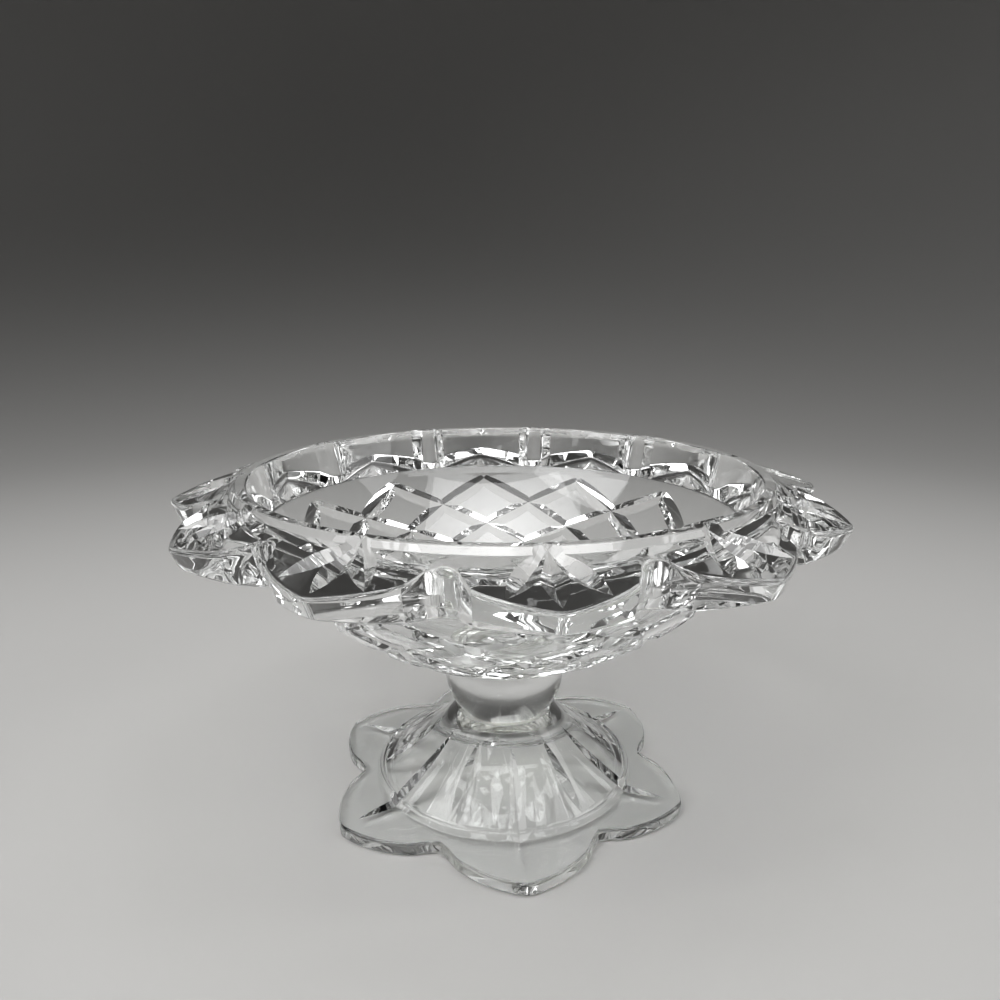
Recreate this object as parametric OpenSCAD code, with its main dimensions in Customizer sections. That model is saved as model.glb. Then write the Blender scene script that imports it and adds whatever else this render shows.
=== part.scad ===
// Footed compote bowl in clear pressed glass.
// A shallow bowl with a rim of pointed petals, a ball knop and a petalled foot.
// Millimetres. +Z is up, the foot stands on z = 0, and one petal points along -Y.

/* [Rim] */
// Diameter across opposite petal tips
rim_d = 254; // [240:1:270]
// Number of petals round the rim
rim_petals = 12; // [11:1:13]
// How far the petal tips stand out past the corners where petals meet
petal_l = 14; // [12:0.5:17]
// Depth of the round flutes between petals, in from those corners
rim_flute_depth = 3.7; // [2.5:0.1:4.5]
// Radius of the round flutes between petals
rim_flute_r = 4.8; // [3.4:0.2:6]
// Radius of a petal's curved side, seen from above
rim_side_r = 60; // [45:1:90]
// Thickness of a petal at its tip
rim_edge_t = 6.5; // [5:0.5:9]
// How far a petal's tip is drawn in from its top edge to its underside
rim_draft = 3; // [1:0.5:4]

/* [Bowl] */
// Height of the bowl from its base to the top of its collar
bowl_h = 78; // [70:1:90]
// Width of the rim, from the mouth inside the collar out to the petal tips
rim_w = 30; // [28:0.5:34]
// Width of the flat top of the collar
collar_w = 4; // [2:0.5:5]
// Height and width of the slope outside the collar
collar_step = 2; // [1:0.25:3]
// How far the petal tips lie below the top of the collar
petal_drop = 9; // [6:0.5:12]
// Depth of the collar's inside wall, down to the edge of the dish
collar_depth = 18.5; // [14:0.5:24]
// How far the edge of the dish lies inside the mouth
dish_lip = 5; // [4:0.5:9]
// Thickness of the glass under the middle of the dish
base_t = 8.5; // [7:0.5:14]
// How far outside the mouth the outside wall meets the underside of the petals
shoulder_w = 5; // [3:0.5:7]
// Radius of the outside wall's curve
wall_curve_r = 148; // [130:1:200]

/* [Cut diamonds] */
// Number of rows of crossings on the outside wall
cross_rows = 7; // [3:1:7]
// How far inside the shoulder the top row of crossings lies
cross_top_w = 8; // [6:0.5:11]
// How far outside the joint with the knop the lowest row lies
cross_low_w = 17.6; // [16:0.2:24]
// Width of a mitre cut at the height of the wall
mitre_w = 7; // [5:0.5:8]
// Depth of a mitre cut at its middle
mitre_depth = 2.3; // [1.4:0.1:2.6]
// How far each mitre cut runs past the crossings at its ends
mitre_overrun = 1; // [0:0.5:2]

/* [Petal fans] */
// Number of leaf cuts in the fan on each petal
fan_leaves = 3; // [1:2:3]
// How far outside the mouth the fans start
fan_start_w = 3.5; // [2.5:0.5:6]
// How far short of the petal tip the middle leaf of a fan ends
fan_tip_w = 2; // [1.5:0.25:8]
// Width of a leaf cut at its middle
fan_leaf_w = 8; // [5:0.5:9]
// Depth of a leaf cut at its middle
fan_leaf_depth = 2.4; // [1.4:0.1:2.8]
// Angle between neighbouring leaves of a fan
fan_angle = 33; // [28:1:38]

/* [Stem] */
// Diameter of the ball knop
knop_d = 49; // [47:1:58]
// How far the bowl's joint lies inside the knop's widest circle
bowl_joint_w = 1.5; // [1.5:0.25:4.5]
// How far the foot's joint lies inside the knop's widest circle
foot_joint_w = 4.5; // [2.5:0.25:7.5]
// Thickness of the clear bond film in each joint
bond_t = 0.2; // [0.1:0.05:0.4]

/* [Foot] */
// Height of the foot
foot_h = 32.4; // [28:0.2:40]
// Diameter across opposite petal tips of the foot
foot_d = 153; // [146:1:162]
// Number of petals round the foot
foot_petals = 6; // [5:1:7]
// Diameter across the corners where the foot's petals meet
foot_corner_d = 120; // [116:1:124]
// Diameter across the bottoms of the round flutes in the foot
foot_flute_d = 118; // [114:1:122]
// Radius of the round flutes in the foot
foot_flute_r = 5; // [3:0.5:7]
// Radius of the curved side of a foot petal, seen from above
foot_side_r = 46; // [36:1:60]
// Thickness of the foot's petals
foot_plate_t = 5; // [4:0.5:7]
// Diameter of the ring where the cone meets the petals
foot_ring_d = 106.8; // [102:0.2:109]
// Height of the small step at that ring
foot_ring_step = 0.8; // [0.4:0.1:1.5]
// Radius of the foot cone's hollow curve
foot_curve_r = 150; // [110:5:300]
// Thickness of the glass over the hollow under the foot
foot_wall = 6; // [5:0.5:8]
// Thickness of the glass between the crown and the joint
hollow_cover = 6.5; // [5.5:0.5:12]

/* [Foot cuts] */
// Length of the long leaf cuts down the cone, one to each foot petal
foot_leaf_l = 24; // [18:1:26]
// Width of a leaf cut on the foot at its middle
foot_leaf_w = 7; // [4:0.5:9]
// Depth of a leaf cut on the foot at its middle
foot_leaf_depth = 1.6; // [0.8:0.1:2.2]
// Length of the leaf cuts on the flat of the foot's petals
foot_tip_leaf_l = 15; // [10:1:18]
// Width of those leaf cuts at their middle
foot_tip_leaf_w = 4; // [2:0.5:6]
// Depth of those leaf cuts at their middle
foot_tip_leaf_depth = 1; // [0.5:0.1:1.5]

/* [Hidden] */
$fn = 96;
glass = [0.86, 0.90, 0.92, 0.45];
bond = [0.95, 0.95, 0.90, 0.35];
// Direction of the first petal, seen from above
front = -90;
// Room by which a cutting or bounding shape stands clear of what it cuts
spare = 1;

// Diameters that follow from the rim and the knop
mouth_d = rim_d - 2 * rim_w;
dish_d = mouth_d - 2 * dish_lip;
shoulder_d = mouth_d + 2 * shoulder_w;
rim_corner_d = rim_d - 2 * petal_l;
rim_flute_d = rim_corner_d - 2 * rim_flute_depth;
bowl_joint_d = knop_d - 2 * bowl_joint_w;
foot_joint_d = knop_d - 2 * foot_joint_w;

// Knop: the flats of the two joints cut the ball above and below its middle
knop_r = knop_d / 2;
knop_top = sqrt(knop_r * knop_r - bowl_joint_d * bowl_joint_d / 4);
knop_bottom = sqrt(knop_r * knop_r - foot_joint_d * foot_joint_d / 4);

// Heights of the stack, from the table up
foot_bond_z = foot_h;
knop_z = foot_bond_z + bond_t;
bowl_bond_z = knop_z + knop_bottom + knop_top;
bowl_z = bowl_bond_z + bond_t;

// Bowl, measured from its own base
shoulder_z = bowl_h - petal_drop - rim_edge_t;
tip_z = bowl_h - petal_drop;
collar_r = mouth_d / 2 + collar_w;
slope_r = collar_r + collar_step;
petal_slope = atan((petal_drop - collar_step) / (rim_d / 2 - slope_r));
dish_z = bowl_h - collar_depth;
dish_floor_z = base_t;
dish_rise = dish_z - dish_floor_z;
dish_r = (dish_d * dish_d / 4 + dish_rise * dish_rise) / (2 * dish_rise);

// Centre of the circle of radius r through points a and b, on the left of the way from a to b
function arc_centre(a, b, r) =
    let (way = b - a, half = norm(way) / 2, left = [-way.y, way.x] / norm(way))
    (a + b) / 2 + left * sqrt(r * r - half * half);

// Outside wall: one arc from the base to the shoulder
wall_c = arc_centre([bowl_joint_d / 2, 0], [shoulder_d / 2, shoulder_z], wall_curve_r);
function wall_z(r) = wall_c.y - sqrt(wall_curve_r * wall_curve_r - (r - wall_c.x) * (r - wall_c.x));
// Angle of the wall's outward normal from +Z
function wall_lean(r) = atan2(r - wall_c.x, wall_z(r) - wall_c.y);

// Foot cone: one hollow arc from the joint down to the ring
ring_z = foot_plate_t + foot_ring_step;
cone_c = arc_centre([foot_joint_d / 2, foot_h], [foot_ring_d / 2, ring_z], foot_curve_r);
function cone_z(r) = cone_c.y - sqrt(foot_curve_r * foot_curve_r - (r - cone_c.x) * (r - cone_c.x));
function cone_lean(r) = atan2(cone_c.x - r, cone_c.y - cone_z(r));
cone_w = (foot_ring_d - foot_joint_d) / 2;
cone_drop = atan((foot_h - ring_z) / cone_w);

// Outline of a ring of pointed petals, seen from above: each petal is the lens shared by the
// circles of its two sides, and a round flute runs down between neighbours
module petal_outline(count, tip_d, corner_d, side_r, flute_d, flute_r) {
    half_angle = 180 / count;
    corner = corner_d / 2 * [cos(half_angle), sin(half_angle)];
    centre = arc_centre([tip_d / 2, 0], corner, side_r);
    difference() {
        union() {
            circle(d = corner_d);
            for (i = [0 : count - 1])
                rotate(front + i * 2 * half_angle)
                    intersection_for(side = [-1, 1])
                        translate([centre.x, side * centre.y])
                            circle(r = side_r);
        }
        for (i = [0 : count - 1])
            rotate(front + (2 * i + 1) * half_angle)
                translate([flute_d / 2 + flute_r, 0])
                    circle(r = flute_r);
    }
}

// A leaf-shaped mitre cut along X into a surface at z = 0: the part of a cutting wheel's
// sharp edge that lies within twice the cut's depth of the surface
module leaf_cut(l, w, depth) {
    wheel_r = (l * l / 4 + depth * depth) / (2 * depth);
    intersection() {
        translate([0, 0, wheel_r - depth])
            rotate([90, 0, 0])
                rotate_extrude()
                    polygon([
                        [0, -3 * w / 2], [wheel_r - 3 * depth, -3 * w / 2], [wheel_r, 0],
                        [wheel_r - 3 * depth, 3 * w / 2], [0, 3 * w / 2]
                    ]);
        translate([-l, -2 * w, -2 * depth])
            cube([2 * l, 4 * w, 4 * depth]);
    }
}

// A straight mitre cut along X into a surface at z = 0: a sharp groove of length l
module mitre_cut(l, w, depth) {
    rotate([90, 0, 90])
        translate([0, 0, -l / 2])
            linear_extrude(l)
                polygon([[0, -depth], [w, depth], [-w, depth]]);
}

// Half section of the bowl's wall below the shoulder, still filled
module wall_section() {
    intersection() {
        translate(wall_c) circle(r = wall_curve_r, $fn = 180);
        square([shoulder_d / 2, shoulder_z]);
    }
}

// Half section of the rim, from which the petals are cut: below the tips its edge leans in
module rim_section() {
    polygon([
        [0, shoulder_z], [rim_d / 2 - rim_draft, shoulder_z],
        [rim_d / 2 + spare, tip_z - spare * tan(petal_slope)],
        [slope_r, bowl_h - collar_step], [collar_r, bowl_h], [0, bowl_h]
    ]);
}

// Half section of the space inside the bowl
module inside_section() {
    intersection() {
        translate([0, dish_floor_z + dish_r]) circle(r = dish_r, $fn = 180);
        square([dish_d / 2, dish_z]);
    }
    polygon([
        [0, dish_z - spare], [dish_d / 2 - spare, dish_z - spare], [dish_d / 2, dish_z],
        [mouth_d / 2, bowl_h], [mouth_d / 2, bowl_h + spare], [0, bowl_h + spare]
    ]);
}

// The crossing mitre cuts that leave diamonds on the outside wall
module diamond_cuts() {
    step_angle = 180 / rim_petals;
    cross_top_r = shoulder_d / 2 - cross_top_w;
    cross_low_r = bowl_joint_d / 2 + cross_low_w;
    cross_step = (cross_top_r - cross_low_r) / (cross_rows - 1);
    for (row = [0 : cross_rows - 2]) {
        top_r = cross_top_r - row * cross_step;
        low_r = top_r - cross_step;
        mid_r = (top_r + low_r) / 2;
        down = norm([cross_step, wall_z(top_r) - wall_z(low_r)]);
        across = mid_r * step_angle * PI / 180;
        for (j = [0 : 2 * rim_petals - 1]) {
            side = (j + row) % 2 == 0 ? 1 : -1;
            rotate(front + (j + 0.5) * step_angle)
                translate([mid_r, 0, wall_z(mid_r)])
                    rotate([0, wall_lean(mid_r), 0])
                        rotate(side * atan2(across, down))
                            mitre_cut(norm([across, down]) + 2 * mitre_overrun, mitre_w, mitre_depth);
        }
    }
}

// The fans of leaf cuts on top of the petals
module fan_cuts() {
    start_r = mouth_d / 2 + fan_start_w;
    fan_leaf_l = rim_d / 2 - fan_tip_w - start_r;
    start_z = bowl_h - collar_step - (start_r - slope_r) * tan(petal_slope);
    for (i = [0 : rim_petals - 1], leaf = [0 : fan_leaves - 1])
        rotate(front + i * 360 / rim_petals)
            translate([start_r, 0, start_z])
                rotate([0, petal_slope, 0])
                    rotate((leaf - (fan_leaves - 1) / 2) * fan_angle)
                        translate([fan_leaf_l / 2, 0, 0])
                            leaf_cut(fan_leaf_l, fan_leaf_w, fan_leaf_depth);
}

module bowl() {
    color(glass)
        translate([0, 0, bowl_z])
            difference() {
                union() {
                    rotate_extrude() wall_section();
                    intersection() {
                        rotate_extrude() rim_section();
                        translate([0, 0, shoulder_z - spare])
                            linear_extrude(bowl_h - shoulder_z + 2 * spare)
                                petal_outline(rim_petals, rim_d, rim_corner_d, rim_side_r,
                                              rim_flute_d, rim_flute_r);
                    }
                }
                rotate_extrude() inside_section();
                diamond_cuts();
                fan_cuts();
            }
}

module bowl_bond() {
    color(bond)
        translate([0, 0, bowl_bond_z])
            cylinder(d = bowl_joint_d, h = bond_t);
}

module stem_knop() {
    color(glass)
        translate([0, 0, knop_z + knop_bottom])
            intersection() {
                sphere(d = knop_d);
                translate([0, 0, -knop_bottom])
                    cylinder(d = knop_d + 2 * spare, h = knop_bottom + knop_top);
            }
}

module foot_bond() {
    color(bond)
        translate([0, 0, foot_bond_z])
            cylinder(d = foot_joint_d, h = bond_t);
}

// Half section of the foot's cone above the petals, still filled
module cone_section() {
    difference() {
        polygon([
            [0, 0], [foot_ring_d / 2, 0], [foot_ring_d / 2, ring_z],
            [foot_joint_d / 2, foot_h], [0, foot_h]
        ]);
        translate(cone_c) circle(r = foot_curve_r, $fn = 180);
    }
}

// Half section of the hollow under the foot: it follows the cone up to a flat crown
module hollow_section() {
    drop = foot_wall / cos(cone_drop);
    crown_z = foot_h - hollow_cover;
    function hollow_r(z) = foot_ring_d / 2 + (ring_z - drop - z) / tan(cone_drop);
    polygon([[0, -spare], [hollow_r(-spare), -spare], [hollow_r(crown_z), crown_z], [0, crown_z]]);
}

// Leaf cuts on the foot: down the cone all round, and along the petals
module foot_cuts() {
    mid_r = (foot_joint_d + foot_ring_d) / 4;
    for (i = [0 : 2 * foot_petals - 1])
        rotate(front + i * 180 / foot_petals)
            translate([mid_r, 0, cone_z(mid_r)])
                rotate([0, cone_lean(mid_r), 0])
                    leaf_cut(foot_leaf_l, foot_leaf_w, foot_leaf_depth);
    tip_mid_r = (foot_ring_d + foot_d) / 4;
    for (i = [0 : foot_petals - 1])
        rotate(front + i * 360 / foot_petals)
            translate([tip_mid_r, 0, foot_plate_t])
                leaf_cut(foot_tip_leaf_l, foot_tip_leaf_w, foot_tip_leaf_depth);
}

module foot() {
    color(glass)
        difference() {
            union() {
                rotate_extrude() cone_section();
                linear_extrude(foot_plate_t)
                    petal_outline(foot_petals, foot_d, foot_corner_d, foot_side_r,
                                  foot_flute_d, foot_flute_r);
            }
            rotate_extrude() hollow_section();
            foot_cuts();
        }
}

bowl();
bowl_bond();
stem_knop();
foot_bond();
foot();
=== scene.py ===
# Footed compote bowl in clear cut glass: its finished surfaces, its light and its camera.
import functools
import math

import bmesh
import bpy
from mathutils import Matrix, Vector


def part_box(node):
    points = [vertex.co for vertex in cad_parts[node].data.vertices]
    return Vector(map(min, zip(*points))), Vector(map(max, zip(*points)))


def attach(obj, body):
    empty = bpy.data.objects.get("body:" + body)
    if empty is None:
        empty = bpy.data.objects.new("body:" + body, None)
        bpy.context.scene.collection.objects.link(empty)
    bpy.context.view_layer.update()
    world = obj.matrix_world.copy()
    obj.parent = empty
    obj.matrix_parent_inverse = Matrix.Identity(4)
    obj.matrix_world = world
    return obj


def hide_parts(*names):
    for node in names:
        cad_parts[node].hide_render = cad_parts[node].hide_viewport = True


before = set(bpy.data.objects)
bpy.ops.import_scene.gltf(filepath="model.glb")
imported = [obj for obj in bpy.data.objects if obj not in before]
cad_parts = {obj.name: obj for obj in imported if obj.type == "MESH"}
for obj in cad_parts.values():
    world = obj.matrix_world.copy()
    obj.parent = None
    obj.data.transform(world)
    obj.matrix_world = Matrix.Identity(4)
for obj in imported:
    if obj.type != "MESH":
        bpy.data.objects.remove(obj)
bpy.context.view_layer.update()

# Shapes are modelled in millimetres and written to the meshes in metres
MM = 0.001
FRONT = math.radians(-90)


def solid_box(node):
    """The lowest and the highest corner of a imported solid's box, in millimetres."""
    return [Vector(corner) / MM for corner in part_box(node)]


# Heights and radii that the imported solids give
bowl_low, bowl_high = solid_box("bowl")
knop_low, knop_high = solid_box("stem_knop")
foot_low, foot_high = solid_box("foot")
bowl_base_z = bowl_low.z
collar_z = bowl_high.z
rim_tip_r = -bowl_low.y
foot_tip_r = -foot_low.y
knop_r = knop_high.x

# Bowl: collar, rim, dish and outside wall
mouth_r = 97.0
collar_r = 101.0
collar_step = 2.0
petal_drop = 9.0
rim_edge_t = 6.5
rim_draft = 3.0
rim_under_slope = 0.18
collar_depth = 18.5
dish_edge_r = 92.0
dish_depth = 69.5
shoulder_r = 99.0
wall_curve_r = 135.0
bowl_joint_r = 23.0
bowl_neck_h = 1.6
dish_edge_round = 2.0
collar_round = 1.2
collar_foot_round = 1.0
rim_edge_round = 1.3
rim_under_round = 1.0
shoulder_round = 2.0
# Share of its radius by which the rounding draws a petal's tip in
tip_pull = 0.35
# Width of the zone along the rim's edge that keeps the edge's own shape
rim_edge_zone = 4.6

# Rim and foot petals, seen from above
RIM = {"count": 12, "tip": rim_tip_r, "corner": 113.0, "side": 60.0,
       "flute_bottom": 109.3, "flute": 4.8, "tip_round": 1.0, "flute_round": 7.0}
FOOT = {"count": 6, "tip": foot_tip_r, "corner": 60.0, "side": 46.0,
        "flute_bottom": 61.4, "flute": 8.0, "tip_round": 1.0, "flute_round": 3.5}

# Foot: joint, cone, petal plate, hollow and ring
foot_joint_r = 20.0
knop_seat_r = 18.6
foot_plate_t = 5.0
foot_ring_r = 53.4
foot_ring_step = 0.8
foot_curve_r = 150.0
foot_wall = 6.0
hollow_cover = 6.5
hollow_round = 48.0
ring_bead_w = 2.8
ring_bead_h = 3.9
ring_bead_round = 1.0
ring_groove = 0.5
ring_overhang = 0.4
ring_clearance = 0.6
groove_round = 0.25
ring_foot_round = 0.3
foot_joint_round = 0.5
foot_edge_round = 1.4
foot_under_round = 0.8
hollow_mouth_round = 1.2
foot_edge_zone = 2.0

# Cut diamonds
cross_rows = 7
cross_top_r = 94.0
cross_step = 8.9
mitre_w = 8.6
mitre_depth = 2.8
mitre_overrun = 1.0

# Petal fans
fan_leaves = 3
fan_start_r = 100.5
fan_leaf_l = 25.4
fan_leaf_w = 8.0
fan_leaf_depth = 2.5
fan_angle = math.radians(33)

# Leaf cuts on the foot: the long ones run on over the ring onto the petals
foot_leaf_w = 5.6
foot_leaf_depth = 1.7
foot_leaf_start_r = 24.5
foot_leaf_end_r = 51.0
foot_long_leaf_end_r = 70.0

# Steps of the shapes, and the longest stretch of a half section
PETAL_TURN_STEPS = 432
KNOP_TURN_STEPS = 180
PLAIN_TURN_STEPS = 96
DISH_STEPS = 34
WALL_STEPS = 44
CONE_STEPS = 24
KNOP_STEPS = 44
LEAF_STEPS = 16
FOOT_LEAF_STEPS = 40
STAGE_BEND_STEPS = 24
BOWL_ROUND_STEPS = 9
FOOT_ROUND_STEPS = 10
BOWL_STRETCH = 2.6
FOOT_STRETCH = 2.4

# Search for a petal's outline: where it starts, inside the flute and outside the tip
SEARCH_IN = 6
SEARCH_OUT = 1
HALVINGS = 40

# Cutting wheel: its edge's height in depths of the cut, its swing to each side in lengths of the
# leaf, and the largest sine of that swing
WHEEL_RISE = 3
WHEEL_SWING = 0.75
MOST_SWING = 0.95

# Following cutter: its height above the surface, and the share of its depth that clears its ends
CUTTER_TOP = 1.6
END_LIFT = 0.08

# Points closer than these count as one, or as lying on the same face
MERGE_DIST = 1e-4
SAME_FACE = 1e-3

# Edges that turn by more than this stay sharp
SHARP_ANGLE = math.radians(17)


def arc_centre(start, end, radius):
    """The centre of the arc from start to end, on the left of the way between them."""
    way = end - start
    left = Vector((-way.y, way.x)).normalized()
    return (start + end) / 2 + left * math.sqrt(radius**2 - way.length_squared / 4)


def arc_points(start, end, centre, steps):
    """Points along the shorter arc about centre from start to end."""
    first = start - centre
    turn = first.angle_signed(end - centre)
    points = []
    for i in range(steps + 1):
        spoke = first.copy()
        spoke.rotate(Matrix.Rotation(-turn * i / steps, 2))
        points.append(centre + spoke)
    return points


def rounded(corners, steps):
    """The line through corners, each (point, radius), with its corners rounded."""
    points = []
    for i, (point, radius) in enumerate(corners):
        if radius == 0 or i in (0, len(corners) - 1):
            points.append(point)
            continue
        back = (corners[i - 1][0] - point).normalized()
        ahead = (corners[i + 1][0] - point).normalized()
        half = back.angle(ahead) / 2
        reach = radius / math.tan(half)
        centre = point + (back + ahead).normalized() * radius / math.sin(half)
        points += arc_points(point + back * reach, point + ahead * reach, centre, steps)
    return points


def filled_in(points, longest):
    """The same line with points added so that no stretch is longer than longest."""
    line = [points[0]]
    for point in points[1:]:
        start = line[-1]
        parts = max(1, math.ceil((point - start).length / longest))
        line += [start.lerp(point, k / parts) for k in range(1, parts + 1)]
    return line


def turned(line, steps):
    """A bmesh of a half section, given as (radius, height) points, turned about the Z axis."""
    bm = bmesh.new()
    verts = [bm.verts.new((point.x, 0, point.y)) for point in line]
    edges = [bm.edges.new(pair) for pair in zip(verts, verts[1:])]
    bmesh.ops.spin(bm, geom=verts + edges, cent=(0, 0, 0), axis=(0, 0, 1),
                   angle=math.tau, steps=steps, use_merge=True)
    bmesh.ops.remove_doubles(bm, verts=bm.verts, dist=MERGE_DIST)
    bmesh.ops.recalc_face_normals(bm, faces=bm.faces)
    return bm


def petal_angle(azimuth, ring):
    """The angle from the nearest petal's middle line, and that line's own azimuth."""
    pitch = math.tau / ring["count"]
    line = round((azimuth - FRONT) / pitch) * pitch + FRONT
    return azimuth - line, line


def soft_max(first, second, width):
    """The larger of two numbers, rounded where they are nearly the same."""
    blend = max(0.0, width - abs(first - second)) / width
    return max(first, second) + blend**2 * width / 4


@functools.lru_cache(maxsize=None)
def side_centre(count, tip, corner, radius):
    """Centre of the arc along a petal's left side, with the petal along +X."""
    half = math.pi / count
    return arc_centre(Vector((tip, 0)), Vector((math.cos(half), math.sin(half))) * corner, radius)


def outside_by(point, ring):
    """How far a point lies outside the petal's outline, or inside it if less than 0."""
    half = math.pi / ring["count"]
    centre = side_centre(ring["count"], ring["tip"], ring["corner"], ring["side"])
    left = (point - centre).length - ring["side"]
    right = (point - Vector((centre.x, -centre.y))).length - ring["side"]
    flute_way = Vector((math.cos(half), math.sin(half)))
    flute = ring["flute"] - (point - flute_way * (ring["flute_bottom"] + ring["flute"])).length
    return soft_max(soft_max(left, right, ring["tip_round"]), flute, ring["flute_round"])


reach_found = {}


def outline_radius(angle, ring):
    """The radius of a petal's outline at an angle from its middle line, found by halving."""
    key = (ring["count"], round(abs(angle), 7))
    if key not in reach_found:
        way = Vector((math.cos(angle), abs(math.sin(angle))))
        low = ring["flute_bottom"] - SEARCH_IN
        high = ring["tip"] + SEARCH_OUT
        for _ in range(HALVINGS):
            middle = (low + high) / 2
            if outside_by(way * middle, ring) < 0:
                low = middle
            else:
                high = middle
        reach_found[key] = low
    return reach_found[key]


# Even shares of a petal's half width, and where they move to: close together at tip and flute
CROWDED = ((0, 0), (3 / 18, 0.05), (11 / 18, 0.80), (1, 1))

# Share of a short petal's length that the zone along its edge may take
EDGE_SHARE = 0.6


def crowded(share):
    """A share of the half petal moved so that the columns crowd at its tip and its flute."""
    for (x0, y0), (x1, y1) in zip(CROWDED, CROWDED[1:]):
        if share <= x1:
            return y0 + (y1 - y0) * (share - x0) / (x1 - x0)
    return 1.0


def shape_petals(bm, ring, inner_r, edge_w, top, underside):
    """Moves a turned rim onto its petals: radii beyond inner_r follow the petal outline, and
    heights keep their share of the way from the underside to the top face at their radius."""
    half = math.pi / ring["count"]
    for vert in bm.verts:
        radius = math.hypot(vert.co.x, vert.co.y)
        if radius < MERGE_DIST:
            continue
        azimuth = math.atan2(vert.co.y, vert.co.x)
        angle, line = petal_angle(azimuth, ring)
        angle = math.copysign(crowded(min(1.0, abs(angle) / half)) * half, angle)
        azimuth = line + angle
        height = vert.co.z
        if radius > inner_r and height > underside(radius) - SAME_FACE:
            edge = outline_radius(angle, ring)
            # Where the petals are short, the zone that keeps the edge's own shape gets narrower
            fit = min(1.0, EDGE_SHARE * (edge - inner_r) / edge_w)
            from_edge = ring["tip"] - radius
            if from_edge < edge_w:
                moved = edge - from_edge * fit
            else:
                share = (radius - inner_r) / (ring["tip"] - edge_w - inner_r)
                moved = inner_r + share * (edge - edge_w * fit - inner_r)
            lift = (height - underside(radius)) / (top(radius) - underside(radius))
            height = underside(moved) + lift * (top(moved) - underside(moved))
            radius = moved
        vert.co = (radius * math.cos(azimuth), radius * math.sin(azimuth), height)


def leaf_cutter(bm, place, length, width, depth):
    """Adds the edge of a cutting wheel that cuts a leaf along local X into the plane z = 0. It
    swings past both ends of the leaf."""
    others = set(bm.verts)
    wheel_r = (length**2 / 4 + depth**2) / (2 * depth)
    axis = (0, 0, wheel_r - depth)
    high = WHEEL_RISE * depth
    half_w = width / 2 * (high / depth)
    swing = math.asin(min(MOST_SWING, WHEEL_SWING * length / wheel_r))
    corners = ((0, 0, -depth), (0, half_w, high - depth), (0, -half_w, high - depth))
    edge = [bm.verts.new(corner) for corner in corners]
    face = bm.faces.new(edge)
    bmesh.ops.rotate(bm, verts=edge, cent=axis, matrix=Matrix.Rotation(swing, 3, "Y"))
    bmesh.ops.spin(bm, geom=edge + list(face.edges) + [face], cent=axis,
                   axis=(0, 1, 0), angle=-2 * swing, steps=LEAF_STEPS)
    wheel = [vert for vert in bm.verts if vert not in others]
    bmesh.ops.transform(bm, matrix=place, verts=wheel)


def join_stations(bm, stations):
    """Closes a bar whose cross sections are triangles of vertices."""
    bm.faces.new(stations[0])
    bm.faces.new(reversed(stations[-1]))
    for first, last in zip(stations, stations[1:]):
        for i in range(3):
            bm.faces.new((first[i], first[i - 1], last[i - 1], last[i]))


def mitre_cutter(bm, place, length, width, depth):
    """Adds a straight sharp-edged bar that cuts a mitre along local X into the plane z = 0."""
    stations = []
    for x in (-length / 2, length / 2):
        corners = ((x, 0, -depth), (x, width, depth), (x, -width, depth))
        stations.append([bm.verts.new(place @ Vector(corner)) for corner in corners])
    join_stations(bm, stations)


def following_cutter(bm, turn, line, width, depth):
    """Adds a sharp-edged cutter that follows a line of (radius, height) points on the surface,
    deepest at its middle and clear of the surface at its ends."""
    stations = []
    for k, point in enumerate(line):
        way = line[min(k + 1, len(line) - 1)] - line[max(k - 1, 0)]
        out = Vector((-way.y, way.x)).normalized()
        share = 2 * k / (len(line) - 1) - 1
        sunk = depth * ((1 + END_LIFT) * (1 - share**2) - END_LIFT)
        reach = (CUTTER_TOP + sunk) * width / 2 / depth
        low = point - out * sunk
        high = point + out * CUTTER_TOP
        corners = ((low.x, 0, low.y), (high.x, reach, high.y), (high.x, -reach, high.y))
        stations.append([bm.verts.new(turn @ Vector(corner)) for corner in corners])
    join_stations(bm, stations)


def on_axis(azimuth, radius, height, lean, twist):
    """A place on a surface of revolution, with local Z along its outward normal."""
    return (Matrix.Rotation(azimuth, 4, "Z") @ Matrix.Translation((radius, 0, height))
            @ Matrix.Rotation(lean, 4, "Y") @ Matrix.Rotation(twist, 4, "Z"))


def new_object(name, bm):
    """An object of the bmesh, which is freed."""
    bmesh.ops.recalc_face_normals(bm, faces=bm.faces)
    mesh = bpy.data.meshes.new(name)
    bm.to_mesh(mesh)
    bm.free()
    obj = bpy.data.objects.new(name, mesh)
    bpy.context.scene.collection.objects.link(obj)
    return obj


def carve(piece, bm):
    """Cuts the cutters in the bmesh out of the piece."""
    cutters = new_object("cutters", bm)
    modifier = piece.modifiers.new("cut", "BOOLEAN")
    modifier.operation = "DIFFERENCE"
    modifier.solver = "MANIFOLD"
    modifier.object = cutters
    graph = bpy.context.evaluated_depsgraph_get()
    carved = bpy.data.meshes.new_from_object(piece.evaluated_get(graph))
    whole = piece.data
    piece.modifiers.clear()
    piece.data = carved
    bpy.data.meshes.remove(whole)
    bpy.data.objects.remove(cutters)


# Bowl
under_z = collar_z - petal_drop - rim_edge_t
slope_r = collar_r + collar_step
# The rounding draws the edge in, so its corner stands out beyond the petal's tip
rim_edge_r = rim_tip_r + tip_pull * rim_edge_round
rim_under_r = rim_edge_r - rim_draft
petal_fall = (petal_drop - collar_step) / (rim_tip_r - slope_r)
dish_z = collar_z - collar_depth
dish_rise = dish_depth - collar_depth
dish_r = (dish_edge_r**2 + dish_rise**2) / (2 * dish_rise)
dish_start = Vector((0, collar_z - dish_depth))
dish_end = Vector((dish_edge_r, dish_z))
dish_centre = dish_start + Vector((0, dish_r))
wall_start = Vector((bowl_joint_r, bowl_base_z + bowl_neck_h))


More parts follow.
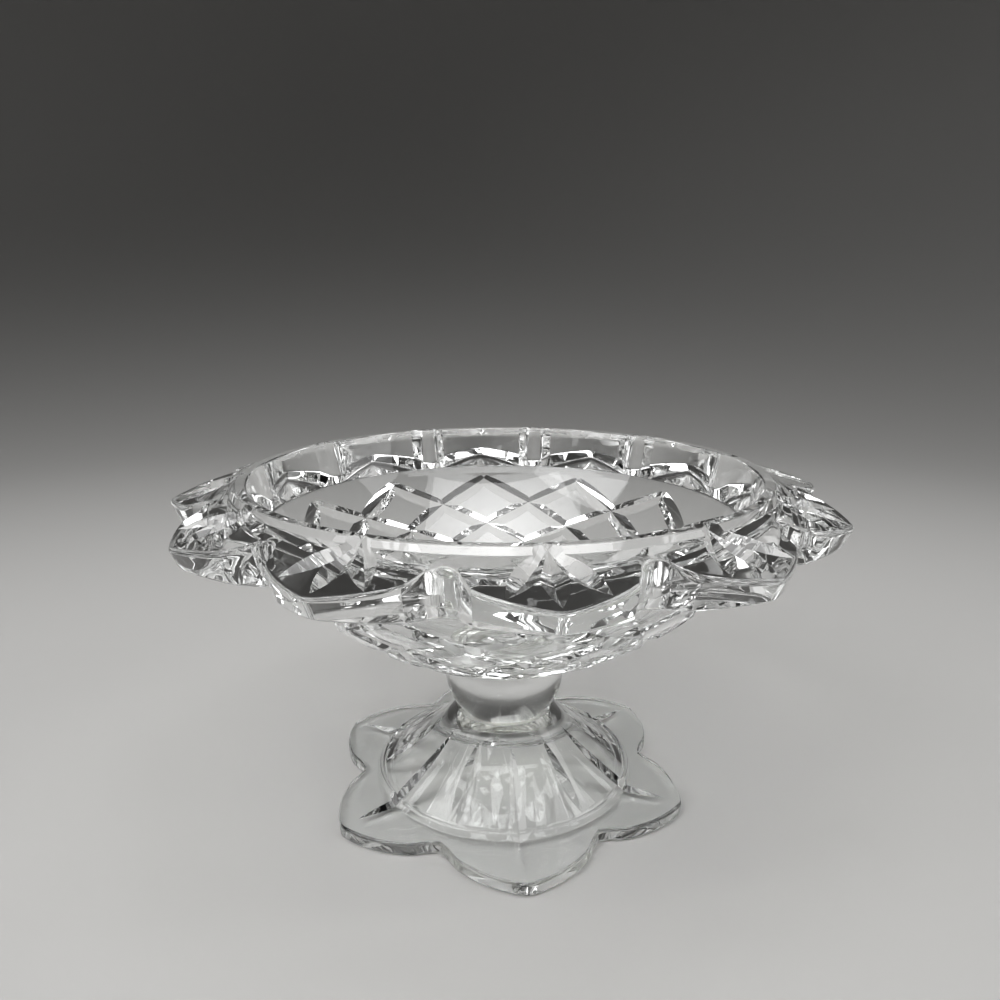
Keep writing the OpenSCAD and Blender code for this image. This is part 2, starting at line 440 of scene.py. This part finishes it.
def petal_top(radius):
    """Height of the petals' top face."""
    return collar_z - collar_step - (radius - slope_r) * petal_fall


def petal_under(radius):
    """Height of the petals' underside, which falls towards the wall."""
    return under_z - (rim_tip_r - radius) * rim_under_slope


wall_end = Vector((shoulder_r, petal_under(shoulder_r)))
wall_centre = arc_centre(wall_start, wall_end, wall_curve_r)


def wall_height(radius):
    """Height of the bowl's outside wall."""
    return wall_centre.y - math.sqrt(wall_curve_r**2 - (radius - wall_centre.x)**2)


def wall_lean(radius):
    """Angle of the outside wall's outward normal from +Z."""
    return math.atan2(radius - wall_centre.x, wall_height(radius) - wall_centre.y)


def bowl_section():
    """Half section of the bowl: dish, collar, petal, outside wall and base."""
    dish = arc_points(dish_start, dish_end, dish_centre, DISH_STEPS)
    wall = arc_points(wall_end, wall_start, wall_centre, WALL_STEPS)
    corners = [(point, 0) for point in dish[:-1]]
    corners += [
        (dish_end, dish_edge_round),
        (Vector((mouth_r, collar_z)), collar_round),
        (Vector((collar_r, collar_z)), collar_round),
        (Vector((slope_r, collar_z - collar_step)), collar_foot_round),
        (Vector((rim_edge_r, petal_top(rim_edge_r))), rim_edge_round),
        (Vector((rim_under_r, petal_under(rim_under_r))), rim_under_round),
        (wall_end, shoulder_round),
    ]
    # The rounding of the shoulder takes the place of the wall's first step
    corners += [(point, 0) for point in wall[2:]]
    corners.append((Vector((bowl_joint_r, bowl_base_z)), 0))
    corners.append((Vector((0, bowl_base_z)), 0))
    return filled_in(rounded(corners, BOWL_ROUND_STEPS), BOWL_STRETCH)


def fan_cutters(leaf):
    """Cutters of one leaf of every petal's fan."""
    bm = bmesh.new()
    slope = math.atan(petal_fall)
    twist = (leaf - (fan_leaves - 1) / 2) * fan_angle
    to_middle = Matrix.Translation((fan_leaf_l / 2, 0, 0))
    for i in range(RIM["count"]):
        azimuth = FRONT + i * math.tau / RIM["count"]
        place = on_axis(azimuth, fan_start_r, petal_top(fan_start_r), slope, twist)
        leaf_cutter(bm, place @ to_middle, fan_leaf_l, fan_leaf_w, fan_leaf_depth)
    return bm


def diamond_cutters(rows, side):
    """Cutters of the diamond cuts that lean to one side, in the given bands."""
    bm = bmesh.new()
    step = math.pi / RIM["count"]
    for row in rows:
        top_r = cross_top_r - row * cross_step
        low_r = top_r - cross_step
        middle_r = (top_r + low_r) / 2
        down = math.hypot(cross_step, wall_height(top_r) - wall_height(low_r))
        across = middle_r * step
        length = math.hypot(across, down) + 2 * mitre_overrun
        twist = side * math.atan2(across, down)
        for j in range(2 * RIM["count"]):
            # Neighbouring cuts of a band lean to opposite sides
            if (1 if (j + row) % 2 == 0 else -1) != side:
                continue
            azimuth = FRONT + (j + 0.5) * step
            place = on_axis(azimuth, middle_r, wall_height(middle_r), wall_lean(middle_r), twist)
            mitre_cutter(bm, place, length, mitre_w, mitre_depth)
    return bm


def make_bowl():
    """The bowl with its petals, its diamonds and its fans. Cuts that cross are made in turn."""
    bm = turned(bowl_section(), PETAL_TURN_STEPS)
    shape_petals(bm, RIM, slope_r, rim_edge_zone, petal_top, petal_under)
    bowl = new_object("bowl_glass", bm)
    bands = range(cross_rows - 1)
    for first in (0, 1):
        for side in (-1, 1):
            carve(bowl, diamond_cutters(bands[first::2], side))
    for leaf in range(fan_leaves):
        carve(bowl, fan_cutters(leaf))
    return bowl


# Knop
def make_knop():
    """The ball, cut flat at both joints, with its seat narrower than the foot's top."""
    middle_z = knop_low.z + math.sqrt(knop_r**2 - knop_seat_r**2)
    low_angle = -math.acos(knop_seat_r / knop_r)
    high_angle = math.asin((knop_high.z - middle_z) / knop_r)
    line = [Vector((0, knop_low.z))]
    for k in range(KNOP_STEPS + 1):
        angle = low_angle + (high_angle - low_angle) * k / KNOP_STEPS
        line.append(Vector((knop_r * math.cos(angle), middle_z + knop_r * math.sin(angle))))
    line.append(Vector((bowl_joint_r, knop_high.z)))
    line.append(Vector((0, knop_high.z)))
    return new_object("knop_glass", turned(line, KNOP_TURN_STEPS))


# Foot
ring_z = foot_plate_t + foot_ring_step
cone_start = Vector((foot_joint_r, foot_high.z))
cone_end = Vector((foot_ring_r, ring_z))
cone_centre = arc_centre(cone_start, cone_end, foot_curve_r)
cone_fall = (foot_high.z - ring_z) / (foot_ring_r - foot_joint_r)
hollow_drop = foot_wall * math.hypot(1, cone_fall)
bead_end_r = foot_ring_r + ring_overhang


def cone_height(radius):
    """Height of the foot's cone."""
    return cone_centre.y - math.sqrt(foot_curve_r**2 - (radius - cone_centre.x)**2)


def foot_surface(radius):
    """Point of the foot's top face in its half section."""
    if radius < foot_ring_r:
        return Vector((radius, cone_height(radius)))
    return Vector((radius, foot_plate_t))


def foot_section():
    """Half section of the foot: joint, cone, ring bead, petal plate and the hollow under it."""
    cone = arc_points(cone_start, cone_end, cone_centre, CONE_STEPS)
    crown_z = foot_high.z - hollow_cover
    hollow_mouth_r = foot_ring_r + (ring_z - hollow_drop) / cone_fall
    crown_r = hollow_mouth_r - crown_z / cone_fall
    bead_z = foot_plate_t + ring_bead_h
    bead_start = foot_surface(bead_end_r - ring_bead_w)
    corners = [
        (Vector((0, foot_high.z)), 0),
        (Vector((knop_seat_r, foot_high.z)), 0),
        (cone_start, foot_joint_round),
    ]
    corners += [(point, 0) for point in cone[1:-2] if point.x < bead_start.x - ring_clearance]
    corners += [
        (bead_start - Vector((0, ring_groove)), groove_round),
        (Vector((bead_end_r - ring_bead_w / 2, bead_z)), ring_bead_round),
        (Vector((bead_end_r, foot_plate_t)), ring_foot_round),
        (Vector((foot_tip_r, foot_plate_t)), foot_edge_round),
        (Vector((foot_tip_r, 0)), foot_under_round),
        (Vector((hollow_mouth_r, 0)), hollow_mouth_round),
        (Vector((crown_r, crown_z)), hollow_round),
        (Vector((0, crown_z)), 0),
    ]
    return filled_in(rounded(corners, FOOT_ROUND_STEPS), FOOT_STRETCH)


def foot_cutters(first, end_r):
    """Cutters of every other leaf cut down the foot, ending at end_r."""
    bm = bmesh.new()
    line = []
    for k in range(FOOT_LEAF_STEPS + 1):
        line.append(foot_surface(foot_leaf_start_r + (end_r - foot_leaf_start_r) * k / FOOT_LEAF_STEPS))
    for i in range(first, 2 * FOOT["count"], 2):
        turn = Matrix.Rotation(FRONT + i * math.pi / FOOT["count"], 4, "Z")
        following_cutter(bm, turn, line, foot_leaf_w, foot_leaf_depth)
    return bm


def make_foot():
    """The foot with its petals and its leaf cuts, whose plate is level above and below."""
    bm = turned(foot_section(), PETAL_TURN_STEPS)
    shape_petals(bm, FOOT, bead_end_r, foot_edge_zone, lambda radius: foot_plate_t, lambda radius: 0)
    foot = new_object("foot_glass", bm)
    carve(foot, foot_cutters(0, foot_long_leaf_end_r))
    carve(foot, foot_cutters(1, foot_leaf_end_r))
    return foot


def make_bond(node, name):
    """A bond film as thick as its solid."""
    low, high = solid_box(node)
    line = [Vector(point) for point in ((0, low.z), (high.x, low.z), (high.x, high.z), (0, high.z))]
    return new_object(name, turned(line, PLAIN_TURN_STEPS))


# Finishes
class Value:
    """A shader socket that can stand in products."""

    def __init__(self, finish, socket):
        self.finish = finish
        self.socket = socket

    def maths(self, operation, first, second):
        """The result of a Math node on two values."""
        node = self.finish.node("ShaderNodeMath", {"operation": operation}, {0: first, 1: second})
        return Value(self.finish, node.outputs[0])

    def __mul__(self, other):
        return self.maths("MULTIPLY", self, other)

    __rmul__ = __mul__


class Finish:
    """A material made of nodes."""

    def __init__(self, name):
        self.material = bpy.data.materials.new(name)
        self.material.use_nodes = True
        self.tree = self.material.node_tree
        self.tree.nodes.clear()

    def node(self, kind, settings=None, inputs=None):
        """A new node of a kind, with its settings and then its sockets' values or links."""
        node = self.tree.nodes.new(kind)
        for name, setting in (settings or {}).items():
            setattr(node, name, setting)
        for name, value in (inputs or {}).items():
            if isinstance(value, Value):
                self.tree.links.new(value.socket, node.inputs[name])
            else:
                node.inputs[name].default_value = value
        return node

    def value(self, kind, output, settings=None, inputs=None):
        """One output of a new node."""
        return Value(self, self.node(kind, settings, inputs).outputs[output])

    def surface(self, shader):
        """The finished material with this shader on its surface."""
        self.node("ShaderNodeOutputMaterial", None, {"Surface": shader})
        return self.material


def clear_glass():
    """Fire-polished crystal glass: clear, with a faint wave in its surface."""
    finish = Finish("clear_glass")
    place = finish.value("ShaderNodeTexCoord", "Object")
    wave = finish.value("ShaderNodeTexNoise", "Fac", {"noise_dimensions": "3D"},
                        {"Vector": place, "Scale": 90.0, "Detail": 1.0})
    film = finish.value("ShaderNodeTexNoise", "Fac", {"noise_dimensions": "3D"},
                        {"Vector": place, "Scale": 35.0, "Detail": 4.0})
    bump = finish.value("ShaderNodeBump", "Normal", None,
                        {"Height": wave, "Strength": 0.25, "Distance": 0.0002})
    glass = finish.value("ShaderNodeBsdfPrincipled", "BSDF", None, {
        "Base Color": (0.985, 0.993, 0.99, 1),
        "Roughness": film * 0.02,
        "Normal": bump,
        "Transmission Weight": 1.0,
        "IOR": 1.53,
    })
    return finish.surface(glass)


def joint_face():
    """Glass that meets glass at a bonded joint: light goes straight on."""
    finish = Finish("joint_face")
    clear = finish.value("ShaderNodeBsdfTransparent", "BSDF", None, {"Color": (1, 1, 1, 1)})
    return finish.surface(clear)


def clear_bond():
    """The cured film in a joint: nearly invisible."""
    finish = Finish("clear_bond")
    clear = finish.value("ShaderNodeBsdfTransparent", "BSDF", None, {"Color": (0.99, 0.99, 0.98, 1)})
    return finish.surface(clear)


def plain(name, colour, roughness):
    """A plain matt finish for the stage."""
    finish = Finish(name)
    matt = finish.value("ShaderNodeBsdfPrincipled", "BSDF", None,
                        {"Base Color": colour, "Roughness": roughness})
    return finish.surface(matt)


def in_joint(face, height, reach):
    """True if a face lies in a joint of this height, within reach of the axis."""
    level = all(abs(vert.co.z - height) < SAME_FACE for vert in face.verts)
    return level and all(vert.co.xy.length < reach + SAME_FACE for vert in face.verts)


def finish_piece(piece, node, slot, *materials, joints=()):
    bm = bmesh.new()
    bm.from_mesh(piece.data)
    # The cuts leave slivers, which go cleanly only from triangles
    bmesh.ops.triangulate(bm, faces=bm.faces)
    bmesh.ops.dissolve_degenerate(bm, dist=MERGE_DIST, edges=bm.edges)
    loose = [edge for edge in bm.edges if not edge.link_faces]
    bmesh.ops.delete(bm, geom=loose, context="EDGES")
    for face in bm.faces:
        face.smooth = True
        face.material_index = int(any(in_joint(face, *joint) for joint in joints))
    for edge in bm.edges:
        if len(edge.link_faces) == 2:
            first, second = edge.link_faces
            apart = first.material_index != second.material_index
            edge.smooth = not apart and edge.calc_face_angle(0) < SHARP_ANGLE
    bmesh.ops.scale(bm, vec=(MM, MM, MM), verts=bm.verts)
    bm.to_mesh(piece.data)
    bm.free()
    piece.data.materials.clear()
    for material in materials:
        piece.data.materials.append(material)
    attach(piece, "root")
    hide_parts(node)


# Pieces, each with the node that it replaces, its slot, its finishes and its joints
glass = clear_glass()
bonded = joint_face()
film = clear_bond()
bowl_seat = (bowl_base_z, bowl_joint_r)
knop_ends = ((knop_low.z, knop_seat_r), (knop_high.z, bowl_joint_r))
foot_seat = (foot_high.z, knop_seat_r)
finish_piece(make_bowl(), "bowl", "clear_glass", glass, bonded, joints=(bowl_seat,))
finish_piece(make_knop(), "stem_knop", "clear_glass", glass, bonded, joints=knop_ends)
finish_piece(make_foot(), "foot", "clear_glass", glass, bonded, joints=(foot_seat,))
finish_piece(make_bond("bowl_bond", "bowl_bond_film"), "bowl_bond", "clear_bond", film)
finish_piece(make_bond("foot_bond", "foot_bond_film"), "foot_bond", "clear_bond", film)


# Stage, lamps, camera and world, in metres
def make_stage():
    """A round pale floor that sweeps up into a backdrop on every side."""
    wall_r = 1.9
    wall_top = 2.4
    bend = 1.1
    # The floor lies a hair below the foot, so that the two faces don't share a plane
    floor_z = -0.0003
    bend_start = Vector((wall_r - bend, floor_z))
    bend_end = Vector((wall_r, floor_z + bend))
    bend_centre = Vector((wall_r - bend, floor_z + bend))
    line = [Vector((0, floor_z))]
    line += arc_points(bend_start, bend_end, bend_centre, STAGE_BEND_STEPS)
    line.append(Vector((wall_r, wall_top)))
    sweep = new_object("studio_sweep", turned(line, PLAIN_TURN_STEPS))
    for polygon in sweep.data.polygons:
        polygon.use_smooth = True
    sweep.data.materials.append(plain("pale_sweep", (0.46, 0.455, 0.445, 1), 0.9))


lamp_aim = Vector((0, 0, 0.08))
lamp_spread = math.radians(95)


def soft_box(name, place, size, power):
    """A soft rectangular lamp aimed at the bowl, with its light kept within the spread."""
    data = bpy.data.lights.new(name, "AREA")
    data.shape = "RECTANGLE"
    data.size, data.size_y = size
    data.energy = power
    data.spread = lamp_spread
    lamp = bpy.data.objects.new(name, data)
    lamp.visible_camera = False
    lamp.location = place
    lamp.rotation_euler = (lamp_aim - Vector(place)).to_track_quat("-Z", "Y").to_euler()
    bpy.context.scene.collection.objects.link(lamp)


make_stage()
soft_box("key_lamp", place=(-0.9, -0.4, 1.0), size=(1.0, 1.0), power=3.6)
soft_box("fill_lamp", place=(1.1, -0.3, 0.7), size=(0.7, 0.9), power=1.4)
soft_box("top_lamp", place=(0.0, -0.2, 1.3), size=(1.2, 0.7), power=4.0)

# Camera: the photograph's viewing angle
camera_turn = math.radians(-6.245)
camera_stand = Vector((-1.725, -303.66, 198.20)) * MM
camera_place = Matrix.Rotation(camera_turn, 4, "Z") @ camera_stand
camera_pitch = 0.251
camera_data = bpy.data.cameras.new("camera")
camera_data.sensor_width = 36
camera_data.lens = 28.47
camera = bpy.data.objects.new("camera", camera_data)
camera.location = camera_place
camera.rotation_euler = (math.pi / 2 - camera_pitch, 0, camera_turn)
bpy.context.scene.collection.objects.link(camera)
scene = bpy.context.scene
scene.camera = camera

world = bpy.data.worlds.new("studio_air")
scene.world = world
world.use_nodes = True
world.node_tree.nodes["Background"].inputs["Color"].default_value = (0.5, 0.5, 0.5, 1)
world.node_tree.nodes["Background"].inputs["Strength"].default_value = 0.2

scene.view_settings.view_transform = "Standard"
scene.cycles.max_bounces = 24
scene.cycles.transmission_bounces = 24
scene.cycles.glossy_bounces = 12
scene.cycles.transparent_max_bounces = 24
scene.cycles.blur_glossy = 0.0
